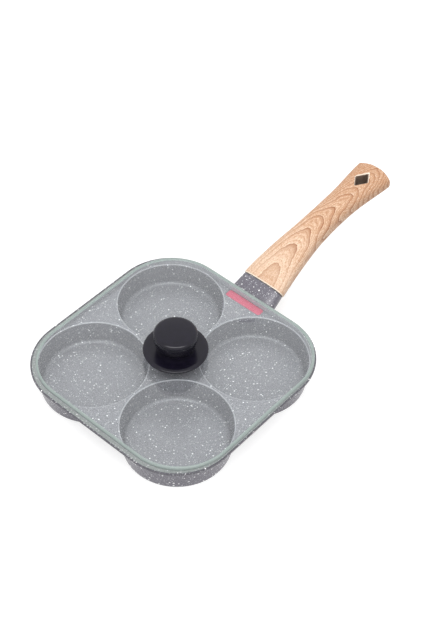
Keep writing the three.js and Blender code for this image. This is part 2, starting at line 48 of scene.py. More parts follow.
# Places read from the frame, in millimetres
PAN_LOW, PAN_HIGH = (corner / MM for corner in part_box("pan_body"))
GLASS_LOW, GLASS_HIGH = (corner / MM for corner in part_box("lid_glass"))
LABEL_LOW, LABEL_HIGH = (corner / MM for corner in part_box("pan_label"))
SKIRT_LOW, SKIRT_HIGH = (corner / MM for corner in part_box("knob_skirt"))
HEAD_LOW, HEAD_HIGH = (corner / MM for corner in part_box("knob_head"))
PAN_HALF = PAN_HIGH.y
PAN_X = PAN_LOW.x + PAN_HALF
WEB_TOP = LABEL_HIGH.z
LID_X = (GLASS_LOW.x + GLASS_HIGH.x) / 2
LID_Y = (GLASS_LOW.y + GLASS_HIGH.y) / 2
GLASS_HALF = (GLASS_HIGH.x - GLASS_LOW.x) / 2
GRIP_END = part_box("handle_grip")[1].x / MM

# Pan sizes, in millimetres
CUP_AT = 46
CUP_MOUTH_R = 45.5
CUP_MOUTH_ROUND = 0.8
CUP_FLOOR_R = 41.6
CUP_FILLET = 3.6
CUP_FLOOR = 2.2
CUP_WALL = 1.9
CUP_BASE_ROUND = 2.4
WEB_THICK = 2
TRAY_HALF = 91.7
SEAT_HALF = 95.05
RIM_TOP = 26.2
RIM_EDGE = 1.8
RIM_FLARE = 4
SEAT_Z = 25.6
EDGE_SOFT = 0.3
LABEL_GAP = 0.2
LABEL_CORNER = 2

# Handle sizes, in millimetres
SLOPE = math.radians(24.8)
COLLAR_REACH = 16.25
COLLAR_DROP = 3
BEND_AT = 56
END_HEIGHT = 50.9
BOSS_INSET = 1.4
BOSS_LENGTH = 28
BOSS_FOOT = 10
BOSS_HALF_WIDTH = 18
TONGUE_HALF_WIDTH = 10
TONGUE_HALF_THICK = 2.6
TONGUE_IN_GRIP = 22
COLLAR_HALF_WIDTHS = (22.2, 20.1)
COLLAR_HALF_THICKS = (5.2, 7.6)
COLLAR_BOW = 2
COLLAR_SEAM = 0.1
SEAM_EDGE = 1.1
GRIP_HALF_WIDTHS = (20.8, 17.3, 13.5, 13.4, 18.2)
GRIP_HALF_THICKS = (7.9, 8.8, 9.2, 8.8, 8.2)
GRIP_END_R = 36
GRIP_END_ROUND = 3
SQUARENESS = 3
ARCH_ASIDE = 3
ARCH_START = 30
HOLE_FROM_END = 24
HOLE_HALF_LENGTH = 10.8
HOLE_HALF_WIDTH = 6.9
HOLE_CORNER = 1.6
HOLE_CHAMFER = 0.7
LINER_WALL = 1
LINER_FIT = 0.05
LINER_SUNK = 0.8
SCREW_FROM_COLLAR = 13
SCREW_SEAT = 4.4
SCREW_BORE_R = 4.6

# Knob sizes, in millimetres
KNOB_BORE = 2.9
SKIRT_FOOT_R = 13
SKIRT_FOOT_RISE = 1.2
SKIRT_UNDER = 6.2
SKIRT_EDGE = 2.2
SKIRT_TURN = 3
NECK_R = 14.8
HEAD_EDGE_ROUND = 4.2
HEAD_EDGE_DROP = 2.8
HEAD_CROWN = 0.7
GLASS_HOLE_R = 5
GLASS_EDGE_BAND = 2

# Mesh fineness
CUP_SEGMENTS = 128
KNOB_SEGMENTS = 96
CORNER_STEPS = 32
ROUND_STEPS = 6
COLLAR_STEPS = 8
GRIP_STEPS = 110
SECTION_STEPS = 72
SHARP_ANGLE = math.radians(38)
LEVEL_NORMAL = 0.99999
WELD = 0.002

# Finish slots, of the pan casting and of pieces with two finishes
INSIDE, OUTSIDE, LIP, HIGHLIGHT, LEDGE = range(5)
PLAIN, TRIM = range(2)

# Camera that took the view, in degrees and millimetres
CAMERA_AZIMUTH = math.radians(-49.171)
CAMERA_ELEVATION = math.radians(47.162)
CAMERA_ROLL = math.radians(1.111)
CAMERA_DISTANCE = 1065.8
CAMERA_RIGHT = 29.61
CAMERA_UP = 36.45
CAMERA_LENS = 75.23
CAMERA_SENSOR = 36
GLASS_LIFT = 1.86

# Stage, in metres and shares of white
FLOOR_REACH = 4
FLOOR_LIFT = 0.68
ROOM_LIGHT = 0.72
FLOOR_TONES = ((0.45, 0.45, 0.45, 1), (0.47, 0.47, 0.47, 1))

# Lights: metres away from the camera, metres up, size in metres, watts
KEY_LIGHT = (1.6, 2, (1.6, 1.2), 19)
FILL_LIGHT = (-1.4, 1.3, (1.6, 1.2), 6)
CATCH_LIGHT = (-0.5, 1.3, (1.4, 0.26), 9)

ROOT_X = PAN_X + PAN_HALF + COLLAR_REACH
ROOT_Z = WEB_TOP - COLLAR_DROP + COLLAR_REACH * math.tan(SLOPE)
BOSS_FACE_X = PAN_X + PAN_HALF - BOSS_INSET
HOLE_X = GRIP_END - HOLE_FROM_END


# Small geometry helpers

def lerp(a, b, t):
    return a + (b - a) * t


def arc(cx, cz, radius, start, end, steps=ROUND_STEPS):
    """Points (r, z) on an arc, angles in degrees."""
    points = []
    for i in range(steps + 1):
        angle = math.radians(lerp(start, end, i / steps))
        points.append((cx + radius * math.cos(angle), cz + radius * math.sin(angle)))
    return points


def bezier(a, b, c, steps):
    """Points on a quadratic curve with end points a and c."""
    points = []
    for i in range(steps + 1):
        t = i / steps
        u = 1 - t
        points.append(tuple(u * u * p + 2 * u * t * q + t * t * r for p, q, r in zip(a, b, c)))
    return points


def stations(values, t):
    """A smooth value along evenly spaced stations."""
    span = (len(values) - 1) * t
    i = min(int(span), len(values) - 2)
    w = span - i
    before = values[max(i - 1, 0)]
    start = values[i]
    end = values[i + 1]
    after = values[min(i + 2, len(values) - 1)]
    m0 = (end - before) / 2
    m1 = (after - start) / 2
    cube = (2 * start - 2 * end + m0 + m1) * w ** 3
    square = (3 * end - 3 * start - 2 * m0 - m1) * w ** 2
    return cube + square + m0 * w + start


def circle_loop(cx, cy, radius, z, segments):
    loop = []
    for i in range(segments):
        angle = 2 * math.pi * i / segments
        loop.append((cx + radius * math.cos(angle), cy + radius * math.sin(angle), z))
    return loop


def square_loop(cx, cy, half, z):
    """A rounded square whose corners are centred on the cups."""
    loop = []
    radius = half - CUP_AT
    for corner, (sx, sy) in enumerate(((1, 1), (-1, 1), (-1, -1), (1, -1))):
        for i in range(CORNER_STEPS + 1):
            angle = math.pi / 2 * (corner + i / CORNER_STEPS)
            x = cx + sx * CUP_AT + radius * math.cos(angle)
            y = cy + sy * CUP_AT + radius * math.sin(angle)
            loop.append((x, y, z))
    return loop


def strip_loop(cx, length, width, corner, z):
    """A strip along Y with rounded corners."""
    loop = []
    right, end = width / 2 - corner, length / 2 - corner
    for quarter, (sx, sy) in enumerate(((1, 1), (-1, 1), (-1, -1), (1, -1))):
        for x, y in arc(cx + sx * right, sy * end, corner, 90 * quarter, 90 * quarter + 90):
            loop.append((x, y, z))
    return loop


def diamond_loop(inset):
    """Plan points of the hang hole, drawn in by an inset, with soft corners."""
    share = 1 - inset / HOLE_HALF_WIDTH
    tips = (
        (HOLE_X + HOLE_HALF_LENGTH * share, 0),
        (HOLE_X, HOLE_HALF_WIDTH * share),
        (HOLE_X - HOLE_HALF_LENGTH * share, 0),
        (HOLE_X, -HOLE_HALF_WIDTH * share),
    )
    part = HOLE_CORNER / math.hypot(HOLE_HALF_LENGTH, HOLE_HALF_WIDTH)
    loop = []
    for i, tip in enumerate(tips):
        before = tips[i - 1]
        after = tips[(i + 1) % 4]
        start = tuple(lerp(p, q, part) for p, q in zip(tip, before))
        end = tuple(lerp(p, q, part) for p, q in zip(tip, after))
        loop.extend(bezier(start, tip, end, ROUND_STEPS))
    return loop


def evaluated_mesh(piece):
    """The mesh of an object with its fill or modifiers applied."""
    bpy.context.view_layer.update()
    graph = bpy.context.evaluated_depsgraph_get()
    return bpy.data.meshes.new_from_object(piece.evaluated_get(graph))


def shade_smooth(data):
    """Smooth shading, except on level faces, which stay truly flat."""
    data.set_sharp_from_angle(angle=SHARP_ANGLE)
    for polygon in data.polygons:
        polygon.use_smooth = abs(polygon.normal.z) < LEVEL_NORMAL


class Builder:
    """Collects loops and faces, in millimetres, into one mesh."""

    def __init__(self):
        self.mesh = bmesh.new()

    def loop(self, points):
        return [self.mesh.verts.new(Vector(point) * MM) for point in points]

    def bridge(self, a, b, slot=0):
        count = len(a)
        for i in range(count):
            j = (i + 1) % count
            face = self.mesh.faces.new((a[i], a[j], b[j], b[i]))
            face.material_index = slot

    def cap(self, loop, point, slot=0):
        """A fan from a loop to one point."""
        centre = self.mesh.verts.new(Vector(point) * MM)
        for i, vert in enumerate(loop):
            face = self.mesh.faces.new((vert, loop[(i + 1) % len(loop)], centre))
            face.material_index = slot

    def loft(self, loops, slots=()):
        rows = [self.loop(points) for points in loops]
        for i, (a, b) in enumerate(zip(rows, rows[1:])):
            self.bridge(a, b, slots[i] if slots else 0)
        return rows

    def lathe(self, profile, cx, cy, segments, start_cap=False, end_cap=False, slots=None):
        slots = slots or [0] * len(profile)
        rows = self.loft([circle_loop(cx, cy, r, z, segments) for r, z in profile], slots)
        if start_cap:
            self.cap(rows[0], (cx, cy, profile[0][1]), slots[0])
        if end_cap:
            self.cap(rows[-1], (cx, cy, profile[-1][1]), slots[-1])
        return rows

    def sheet(self, outline, holes, slot=0):
        """A flat sheet inside an outline and outside its holes."""
        curve = bpy.data.curves.new("sheet", "CURVE")
        curve.dimensions = "2D"
        curve.fill_mode = "BOTH"
        for points in [outline, *holes]:
            spline = curve.splines.new("POLY")
            spline.points.add(len(points) - 1)
            for target, point in zip(spline.points, points):
                target.co = (point[0] * MM, point[1] * MM, 0, 1)
            spline.use_cyclic_u = True
        holder = bpy.data.objects.new("sheet", curve)
        bpy.context.scene.collection.objects.link(holder)
        flat = evaluated_mesh(holder)
        flat.transform(Matrix.Translation((0, 0, outline[0][2] * MM)))
        for polygon in flat.polygons:
            polygon.material_index = slot
        self.mesh.from_mesh(flat)
        bpy.data.objects.remove(holder)
        bpy.data.curves.remove(curve)
        bpy.data.meshes.remove(flat)

    def prism(self, side, half_width, place):
        """A side outline in XZ made into a solid across Y, then put in place."""
        left = self.loop([place(x, half_width, z) for x, z in side])
        right = self.loop([place(x, -half_width, z) for x, z in side])
        self.bridge(left, right)
        self.mesh.faces.new(left)
        self.mesh.faces.new(list(reversed(right)))

    def finish(self, name, outward=True):
        bmesh.ops.remove_doubles(self.mesh, verts=self.mesh.verts, dist=WELD * MM)
        if outward:
            bmesh.ops.recalc_face_normals(self.mesh, faces=self.mesh.faces)
        data = bpy.data.meshes.new(name)
        self.mesh.to_mesh(data)
        self.mesh.free()
        shade_smooth(data)
        piece = bpy.data.objects.new(name, data)
        bpy.context.scene.collection.objects.link(piece)
        return piece


def dress(piece, body, node, slot, *finishes):
    """Put a finished piece on its body in place of a CAD node."""
    for finish in finishes:
        piece.data.materials.append(finish)
    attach(piece, body)
    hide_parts(node)
    return piece


# Shader helpers

class Shader:
    """A material with one principled surface and short ways to add nodes."""

    def __init__(self, name, **values):
        self.material = bpy.data.materials.new(name)
        self.material.use_nodes = True
        self.tree = self.material.node_tree
        self.surface = self.tree.nodes["Principled BSDF"]
        for key, value in values.items():
            self.surface.inputs[key.replace("_", " ")].default_value = value
        self.place = self.add("ShaderNodeTexCoord").outputs["Object"]

    def add(self, kind, settings=None, **inputs):
        node = self.tree.nodes.new(kind)
        for key, value in (settings or {}).items():
            setattr(node, key, value)
        for key, value in inputs.items():
            self.feed(value, node.inputs[key.replace("_", " ")])
        return node

    def feed(self, value, socket):
        if isinstance(value, bpy.types.NodeSocket):
            self.tree.links.new(value, socket)
        else:
            socket.default_value = value

    def math(self, operation, a, b=0.0, c=0.0):
        node = self.add("ShaderNodeMath", {"operation": operation})
        for value, socket in zip((a, b, c), node.inputs):
            self.feed(value, socket)
        return node.outputs[0]

    def remap(self, value, low, high, to_low=0.0, to_high=1.0):
        node = self.add("ShaderNodeMapRange", {"clamp": True}, Value=value)
        for key, number in (
            ("From Min", low),
            ("From Max", high),
            ("To Min", to_low),
            ("To Max", to_high),
        ):
            node.inputs[key].default_value = number
        return node.outputs["Result"]

    def noise(self, scale, detail=2.0, vector=None, distortion=0.0):
        node = self.add("ShaderNodeTexNoise", Vector=vector or self.place, Scale=scale, Detail=detail)
        node.inputs["Distortion"].default_value = distortion
        return node.outputs["Fac"]

    def stretched(self, x, y, z):
        node = self.add("ShaderNodeMapping", Vector=self.place, Scale=(x, y, z))
        return node.outputs["Vector"]

    def mix(self, factor, a, b, blend="MIX"):
        node = self.add("ShaderNodeMix", {"data_type": "RGBA", "blend_type": blend})
        self.feed(factor, node.inputs[0])
        self.feed(a, node.inputs[6])
        self.feed(b, node.inputs[7])
        return node.outputs[2]

    def specks(self, scale, keep, most, soft):
        """Round dots of random size, one in each kept cell."""
        cells = self.add("ShaderNodeTexVoronoi", Vector=self.place, Scale=scale)
        split = self.add("ShaderNodeSeparateColor", Color=cells.outputs["Color"])
        size = self.remap(split.outputs[0], 1 - keep, 1, 0, most)
        depth = self.math("SUBTRACT", size, cells.outputs["Distance"])
        return self.remap(depth, 0, soft)

    def bump(self, height, distance, strength=1.0):
        node = self.add("ShaderNodeBump", Height=height, Strength=strength, Distance=distance)
        self.feed(node.outputs["Normal"], self.surface.inputs["Normal"])

    def color(self, value):
        self.feed(value, self.surface.inputs["Base Color"])

    def roughness(self, value):
        self.feed(value, self.surface.inputs["Roughness"])


def rgb(red, green, blue):
    """A screen colour, 0 to 255, as linear light."""
    linear = []
    for value in (red, green, blue):
        share = value / 255
        linear.append(share / 12.92 if share <= 0.04045 else ((share + 0.055) / 1.055) ** 2.4)
    return (*linear, 1)


# Finishes

def speckled_coating(name, body, grain, speck_scale=430, speck_size=0.28, speck_share=0.5):
    """Grey stone-look coating: fine mottle, pale specks of two sizes and a few dark ones."""
    shader = Shader(name, Metallic=0, Specular_IOR_Level=0.5)
    mottle = shader.remap(shader.noise(1300, 4), 0.36, 0.64)
    cloud = shader.remap(shader.noise(70, 2), 0.3, 0.7)
    base = shader.mix(mottle, body, grain)
    base = shader.mix(shader.math("MULTIPLY", cloud, 0.25), base, grain)
    dark = shader.specks(700, 0.7, 0.36, 0.08)
    base = shader.mix(shader.math("MULTIPLY", dark, 0.45), base, rgb(74, 75, 84))
    small = shader.specks(760, 0.75, 0.4, 0.06)
    base = shader.mix(shader.math("MULTIPLY", small, 0.6), base, rgb(216, 217, 221))
    large = shader.specks(speck_scale, speck_share, speck_size, 0.05)
    base = shader.mix(large, base, rgb(252, 252, 253))
    shader.color(base)
    shader.roughness(shader.remap(shader.noise(900, 2), 0.3, 0.7, 0.2, 0.3))
    shader.bump(shader.noise(1500, 3), 0.00005)
    return shader.material


def wood_look():
    """Printed pale wood: nested arches along the handle, with fine streaks and pores."""
    shader = Shader("wood_look", Specular_IOR_Level=0.4)
    axes = shader.add("ShaderNodeSeparateXYZ", Vector=shader.place)
    x, y = axes.outputs[0], axes.outputs[1]
    sway = shader.math("MULTIPLY", shader.math("SUBTRACT", shader.noise(14, 1), 0.5), 0.012)
    across = shader.math("ADD", shader.math("ADD", y, ARCH_ASIDE * MM), sway)
    fold = shader.math("MULTIPLY", shader.math("MULTIPLY", across, across), 230)
    wander = shader.math("MULTIPLY", shader.math("SUBTRACT", shader.noise(40, 4), 0.5), 0.034)
    outward = shader.math("SUBTRACT", x, (ROOT_X - ARCH_START) * MM)
    arch = shader.math("ADD", outward, shader.math("ADD", fold, wander))
    closing = shader.math("MULTIPLY", shader.math("MULTIPLY", arch, arch), 200)
    phase = shader.math("ADD", shader.math("MULTIPLY", arch, 16), closing)
    rings = shader.math("FRACT", phase)
    lines = shader.math("FRACT", shader.math("MULTIPLY", phase, 4))
    hairs = shader.math("FRACT", shader.math("MULTIPLY", phase, 11))
    streak = shader.noise(1, 4, shader.stretched(130, 1500, 1500))
    fibre = shader.noise(1, 3, shader.stretched(480, 1900, 1900))
    patch = shader.remap(shader.noise(34, 2), 0.35, 0.65)
    base = shader.mix(patch, rgb(237, 212, 188), rgb(224, 191, 162))
    along = shader.remap(x, ROOT_X * MM, GRIP_END * MM)
    # Painted shade: the colour darkens towards the grip's end.
    base = shader.mix(shader.math("MULTIPLY", along, 0.9), base, rgb(192, 150, 117))
    depth = shader.remap(along, 0.05, 0.5, 0.4, 1)
    pores = shader.remap(streak, 0.5, 0.62, 0, 0.55)
    base = shader.mix(pores, base, rgb(196, 148, 112))
    hair_part = shader.remap(fibre, 0.4, 0.58, 0.1, 0.6)
    hair = shader.math("MULTIPLY", shader.math("POWER", hairs, 2), hair_part)
    base = shader.mix(hair, base, rgb(190, 140, 104))
    gleam = shader.remap(fibre, 0.5, 0.6, 0, 0.5)
    base = shader.mix(gleam, base, rgb(248, 228, 204))
    flecks = shader.remap(fibre, 0.48, 0.38, 0, 0.45)
    base = shader.mix(flecks, base, rgb(188, 140, 104))
    shade = shader.math("MULTIPLY", shader.math("POWER", rings, 3), 0.6)
    base = shader.mix(shader.math("MULTIPLY", shade, depth), base, rgb(184, 124, 80))
    line_part = shader.math("MULTIPLY", shader.remap(streak, 0.3, 0.55, 0.4, 0.9), depth)
    line = shader.math("MULTIPLY", shader.math("POWER", lines, 3), line_part)
    base = shader.mix(line, base, rgb(172, 114, 74))
    edge_part = shader.math("MULTIPLY", shader.remap(fibre, 0.36, 0.56, 0.45, 1), depth)
    edge = shader.math("MULTIPLY", shader.math("POWER", rings, 6), edge_part)
    base = shader.mix(edge, base, rgb(134, 78, 42))
    shader.color(base)
    shader.roughness(shader.remap(streak, 0.3, 0.7, 0.42, 0.56))
    shader.bump(streak, 0.00006)
    return shader.material


def painted_edge_highlight():
    """Painted highlight on the chamfers at the collar seam and round the hang hole."""
    shader = Shader("painted_edge_highlight", Specular_IOR_Level=0.35)
    tone = shader.remap(shader.noise(500, 3), 0.3, 0.7)
    shader.color(shader.mix(tone, rgb(246, 228, 206), rgb(252, 240, 224)))
    shader.roughness(shader.remap(shader.noise(800, 2), 0.3, 0.7, 0.45, 0.6))
    shader.bump(shader.noise(1500, 2), 0.00003)
    return shader.material


def satin_black():
    """Moulded black plastic with a soft sheen and a very fine grain."""
    shader = Shader("satin_black", Specular_IOR_Level=0.37)
    tone = shader.remap(shader.noise(300, 3), 0.3, 0.7)
    shader.color(shader.mix(tone, rgb(13, 11, 22), rgb(20, 17, 31)))
    shader.roughness(shader.remap(shader.noise(700, 2), 0.3, 0.7, 0.19, 0.24))
    shader.bump(shader.noise(2600, 2), 0.000003)
    return shader.material


def clear_glass():
    shader = Shader("clear_glass", Transmission_Weight=1, IOR=1.5, Roughness=0)
    haze = shader.remap(shader.noise(25, 2), 0.35, 0.65)
    shader.color(shader.mix(haze, (0.94, 0.975, 0.985, 1), (0.955, 0.985, 0.99, 1)))
    return shader.material


def ground_edge():
    """Ground edge of the pane, where the glass looks green."""
    shader = Shader("ground_edge", Transmission_Weight=0.2, IOR=1.5)
    grain = shader.remap(shader.noise(1200, 3), 0.3, 0.7)
    shader.color(shader.mix(grain, rgb(144, 157, 153), rgb(160, 172, 168)))
    shader.roughness(shader.remap(shader.noise(600, 2), 0.3, 0.7, 0.3, 0.45))
    shader.bump(shader.noise(2500, 2), 0.00003)
    return shader.material


def pink_strip():
    shader = Shader("pink_strip", Specular_IOR_Level=0.4)
    tone = shader.remap(shader.noise(180, 3), 0.3, 0.7)
    shader.color(shader.mix(tone, rgb(194, 92, 113), rgb(203, 106, 126)))
    shader.roughness(shader.remap(shader.noise(500, 2), 0.3, 0.7, 0.4, 0.55))
    shader.bump(shader.noise(1500, 2), 0.00003)
    return shader.material


def dark_plastic():
    shader = Shader("dark_plastic", Specular_IOR_Level=0.3)
    tone = shader.remap(shader.noise(400, 3), 0.3, 0.7)
    shader.color(shader.mix(tone, rgb(96, 81, 70), rgb(122, 104, 91)))
    shader.roughness(shader.remap(shader.noise(700, 2), 0.3, 0.7, 0.55, 0.75))
    shader.bump(shader.noise(1600, 2), 0.00004)
    return shader.material


def silicone():
    shader = Shader("silicone", Specular_IOR_Level=0.35)
    tone = shader.remap(shader.noise(300, 2), 0.3, 0.7)
    shader.color(shader.mix(tone, rgb(48, 48, 50), rgb(60, 60, 62)))
    shader.roughness(shader.remap(shader.noise(900, 2), 0.3, 0.7, 0.6, 0.8))
    shader.bump(shader.noise(1800, 2), 0.00003)
    return shader.material


def plated_metal(name, tint, shade):
    """Turned and plated metal with fine ring marks."""
    shader = Shader(name, Metallic=1)
    wear = shader.remap(shader.noise(500, 3), 0.35, 0.7)
    shader.color(shader.mix(wear, tint, shade))
    marks = shader.noise(1, 2, shader.stretched(900, 900, 5200))
    shader.roughness(shader.remap(marks, 0.3, 0.7, 0.24, 0.42))
    shader.bump(marks, 0.00002)
    return shader.material


# Pan casting

def cup_radius(z):
    share = (z - CUP_FLOOR) / (WEB_TOP - CUP_FLOOR)
    return lerp(CUP_FLOOR_R, CUP_MOUTH_R - CUP_MOUTH_ROUND, share)


def cup_centres():
    return [(PAN_X + sx * CUP_AT, sy * CUP_AT) for sx in (1, -1) for sy in (1, -1)]


def cup_inside():
    mouth = arc(CUP_MOUTH_R, WEB_TOP - CUP_MOUTH_ROUND, CUP_MOUTH_ROUND, 90, 180)
    fillet = arc(CUP_FLOOR_R - CUP_FILLET, CUP_FLOOR + CUP_FILLET, CUP_FILLET, 0, -90, 2 * ROUND_STEPS)
    rings = [(CUP_FLOOR_R * share, CUP_FLOOR) for share in (0.7, 0.4, 0.1)]
    return [*mouth, *fillet, *rings]


def cup_outside():
    top = WEB_TOP - WEB_THICK / 2
    wall = cup_radius(top) + CUP_WALL
    low = cup_radius(CUP_BASE_ROUND + CUP_FLOOR) + CUP_WALL
    foot = CUP_FLOOR_R + CUP_WALL - CUP_BASE_ROUND
    turn = bezier((low, CUP_BASE_ROUND), (low, 0), (foot, 0), 2 * ROUND_STEPS)
    return [(wall, top), *turn, (foot * 0.6, 0), (foot * 0.2, 0)]


def rim_section():
    """Half sides and heights from the web, over the seat and lip, to the underside."""
    flare_z = RIM_TOP - RIM_EDGE
    under = WEB_TOP - WEB_THICK
    soft = EDGE_SOFT
    return [
        (TRAY_HALF, WEB_TOP),
        *arc(TRAY_HALF + soft, SEAT_Z - soft, soft, 180, 90, 3),
        *reversed(arc(SEAT_HALF - soft, SEAT_Z + soft, soft, 0, -90, 3)),
        *arc(SEAT_HALF + soft, RIM_TOP - soft, soft, 180, 90, 3),
        *arc(PAN_HALF - soft, RIM_TOP - soft, soft, 90, 0, 3),
        *arc(PAN_HALF - soft, flare_z + soft, soft, 0, -60, 3),
        (PAN_HALF - RIM_FLARE + soft, under + soft),
        (PAN_HALF - RIM_FLARE - soft, under),
    ]


def rim_slot(half):
    """Painted highlight on the inner step under the glass, painted shade on the lip outside it, and a
    calm ledge between with a painted green tint of light through the glass edge.
    """
    if half > SEAT_HALF:
        return LIP
    return HIGHLIGHT if half < TRAY_HALF + EDGE_SOFT else LEDGE


def on_slope(x, y, z):
    """A point of the sloping handle frame in the part's frame."""
    run, rise = math.cos(SLOPE), math.sin(SLOPE)
    return (ROOT_X + x * run - z * rise, y, ROOT_Z + x * rise + z * run)


def boss_ring(share):
    """Cross section of the handle's lug, which fills the gap between two cups."""
    back = BOSS_LENGTH * (1 - share)
    x = BOSS_FACE_X - back
    high = WEB_TOP - WEB_THICK
    low = WEB_TOP - COLLAR_DROP - COLLAR_HALF_THICKS[0]
    rise = max(back - BOSS_FOOT, 0) / (BOSS_LENGTH - BOSS_FOOT)
    z = lerp(low, high - EDGE_SOFT, rise)
    middle_r = CUP_FLOOR_R + CUP_WALL + EDGE_SOFT
    chord = math.sqrt(max(middle_r ** 2 - (x - PAN_X - CUP_AT) ** 2, 0))
    half = min(BOSS_HALF_WIDTH, CUP_AT - chord)
    return [(x, half, high), (x, half, z), (x, -half, z), (x, -half, high)]


def pan_casting(*coatings):
    build = Builder()
    section = rim_section()
    slots = [rim_slot(half) for half, _z in section]
    build.loft([square_loop(PAN_X, 0, half, z) for half, z in section], slots)
    label_x = (LABEL_LOW.x + LABEL_HIGH.x) / 2
    length = LABEL_HIGH.y - LABEL_LOW.y + 2 * LABEL_GAP
    width = LABEL_HIGH.x - LABEL_LOW.x + 2 * LABEL_GAP
    mouths = [circle_loop(x, y, CUP_MOUTH_R, WEB_TOP, CUP_SEGMENTS) for x, y in cup_centres()]
    corner = LABEL_CORNER + LABEL_GAP
    recess = strip_loop(label_x, length, width, corner, WEB_TOP)
    build.sheet(square_loop(PAN_X, 0, TRAY_HALF, WEB_TOP), [*mouths, recess])
    floor = strip_loop(label_x, length, width, corner, LABEL_LOW.z)
    rows = build.loft([recess, floor])
    build.cap(rows[-1], (label_x, 0, LABEL_LOW.z))
    under = WEB_TOP - WEB_THICK
    hidden_r = CUP_AT - LABEL_GAP
    holes = [circle_loop(x, y, hidden_r, under, CUP_SEGMENTS) for x, y in cup_centres()]
    # The underside, the cup outsides and the lug take the darker copy of the coating: painted shade.
    build.sheet(square_loop(PAN_X, 0, section[-1][0], under), holes, slot=OUTSIDE)
    for x, y in cup_centres():
        inside, outside = cup_inside(), cup_outside()
        # The rounds of the cup mouths take the pale copy of the coating: painted highlight.
        inside_slots = [HIGHLIGHT if i < ROUND_STEPS else INSIDE for i in range(len(inside))]
        build.lathe(inside, x, y, CUP_SEGMENTS, end_cap=True, slots=inside_slots)
        build.lathe(outside, x, y, CUP_SEGMENTS, end_cap=True, slots=[OUTSIDE] * len(outside))
    rings = [boss_ring(i / CORNER_STEPS) for i in range(CORNER_STEPS + 1)]
    rows = build.loft(rings, [OUTSIDE] * CORNER_STEPS)
    build.cap(rows[0], (BOSS_FACE_X - BOSS_LENGTH, 0, under), slot=OUTSIDE)
    build.cap(rows[-1], (BOSS_FACE_X, 0, under), slot=OUTSIDE)
    start = -COLLAR_REACH / math.cos(SLOPE)
    thick = TONGUE_HALF_THICK
    tongue = ((start, thick), (TONGUE_IN_GRIP, thick), (TONGUE_IN_GRIP, -thick), (start, -thick))
    build.prism(tongue, TONGUE_HALF_WIDTH, on_slope)
    piece = build.finish("pan_casting")
    return dress(piece, "pan", "pan_body", "speckled_coating", *coatings)


def label_strip(finish):
    build = Builder()
    label_x = (LABEL_LOW.x + LABEL_HIGH.x) / 2
    length = LABEL_HIGH.y - LABEL_LOW.y
    width = LABEL_HIGH.x - LABEL_LOW.x
    soft = EDGE_SOFT
    steps = [(0, LABEL_LOW.z), (0, LABEL_HIGH.z - soft)]
    steps += [(soft - r, z) for r, z in arc(0, LABEL_HIGH.z - soft, soft, 0, 90, 3)]
    loops = [
        strip_loop(label_x, length - 2 * d, width - 2 * d, LABEL_CORNER - d, z) for d, z in steps
    ]
    rows = build.loft(loops)
    build.cap(rows[0], (label_x, 0, LABEL_LOW.z))
    build.cap(rows[-1], (label_x, 0, LABEL_HIGH.z))
    return dress(build.finish("label_strip"), "pan", "pan_label", "pink_inlay", finish)


# Handle

def section_point(angle):
    power = 2 / SQUARENESS
    across, up = math.cos(angle), math.sin(angle)
    u = math.copysign(abs(across) ** power, across)
    v = math.copysign(abs(up) ** power, up)
    return u, v


def section_angles():
    return [2 * math.pi * i / SECTION_STEPS for i in range(SECTION_STEPS)]


def collar_sleeve(*coatings):
    """Flame guard between the boss and the grip, with broken rims."""
    build = Builder()
    reach = COLLAR_REACH / math.cos(SLOPE)
    run, rise = math.cos(SLOPE), math.sin(SLOPE)

    def ring(x, inset):
        share = -x / reach
        wide = lerp(COLLAR_HALF_WIDTHS[1], COLLAR_HALF_WIDTHS[0], share) - inset
        thin = share ** COLLAR_BOW
        thick = lerp(COLLAR_HALF_THICKS[1], COLLAR_HALF_THICKS[0], thin) - inset
        return [(x, u * wide, v * thick) for u, v in map(section_point, section_angles())]

    first = []
    for x, y, z in ring(-reach, 0):
        at_face = (BOSS_FACE_X - ROOT_X + z * rise) / run
        first.append((at_face, y, z))
    soft = 2 * EDGE_SOFT
    rims = [ring(-reach * i / COLLAR_STEPS, 0) for i in range(COLLAR_STEPS - 1, 0, -1)]
    for back, inset in ((SEAM_EDGE, 0), (soft / 3, soft / 3), (0, soft)):
        rims.append(ring(-COLLAR_SEAM - back, inset))
    inner = ring(-COLLAR_SEAM, COLLAR_HALF_THICKS[0] / 2)
    loops = [[on_slope(*point) for point in loop] for loop in [first, *rims, inner]]
    body_steps = len(rims) - 2
    # The rims at the seam with the grip take the dark copy of the coating: painted shade.
    rows = build.loft(loops, [PLAIN] * body_steps + [TRIM] * (len(loops) - body_steps))
    build.cap(rows[0], on_slope(-reach, 0, 0))
    build.cap(rows[-1], on_slope(-COLLAR_SEAM, 0, 0))
    return dress(build.finish("collar_sleeve"), "pan", "handle_collar", "speckled_coating", *coatings)


def grip_line(t):
    """Centre and tangent of the grip in XZ."""
    run, rise = math.cos(SLOPE), math.sin(SLOPE)
    a = (ROOT_X, ROOT_Z)
    b = (ROOT_X + BEND_AT * run, ROOT_Z + BEND_AT * rise)
    c = (GRIP_END, END_HEIGHT)
    u = 1 - t
    centre = [u * u * p + 2 * u * t * q + t * t * r for p, q, r in zip(a, b, c)]
    slope = [2 * u * (q - p) + 2 * t * (r - q) for p, q, r in zip(a, b, c)]
    size = math.hypot(*slope)
    return centre, [value / size for value in slope]


def grip_ring(t, inset=0.0):
    (x, z), (run, rise) = grip_line(t)
    wide = stations(GRIP_HALF_WIDTHS, t) - inset
    thick = stations(GRIP_HALF_THICKS, t) - inset
    past = x - (GRIP_END - GRIP_END_R)
    if past > 0:
        wide = min(wide, math.sqrt(max(GRIP_END_R ** 2 - past ** 2, 0)))
    left = (GRIP_END - x) / GRIP_END_ROUND
    if left < 1:
        thick *= math.sqrt(max(1 - (1 - left) ** 2, 0)) * 0.5 + 0.5
    points = []
    for u, v in map(section_point, section_angles()):
        points.append((x - rise * v * thick, u * wide, z + run * v * thick))
    return points


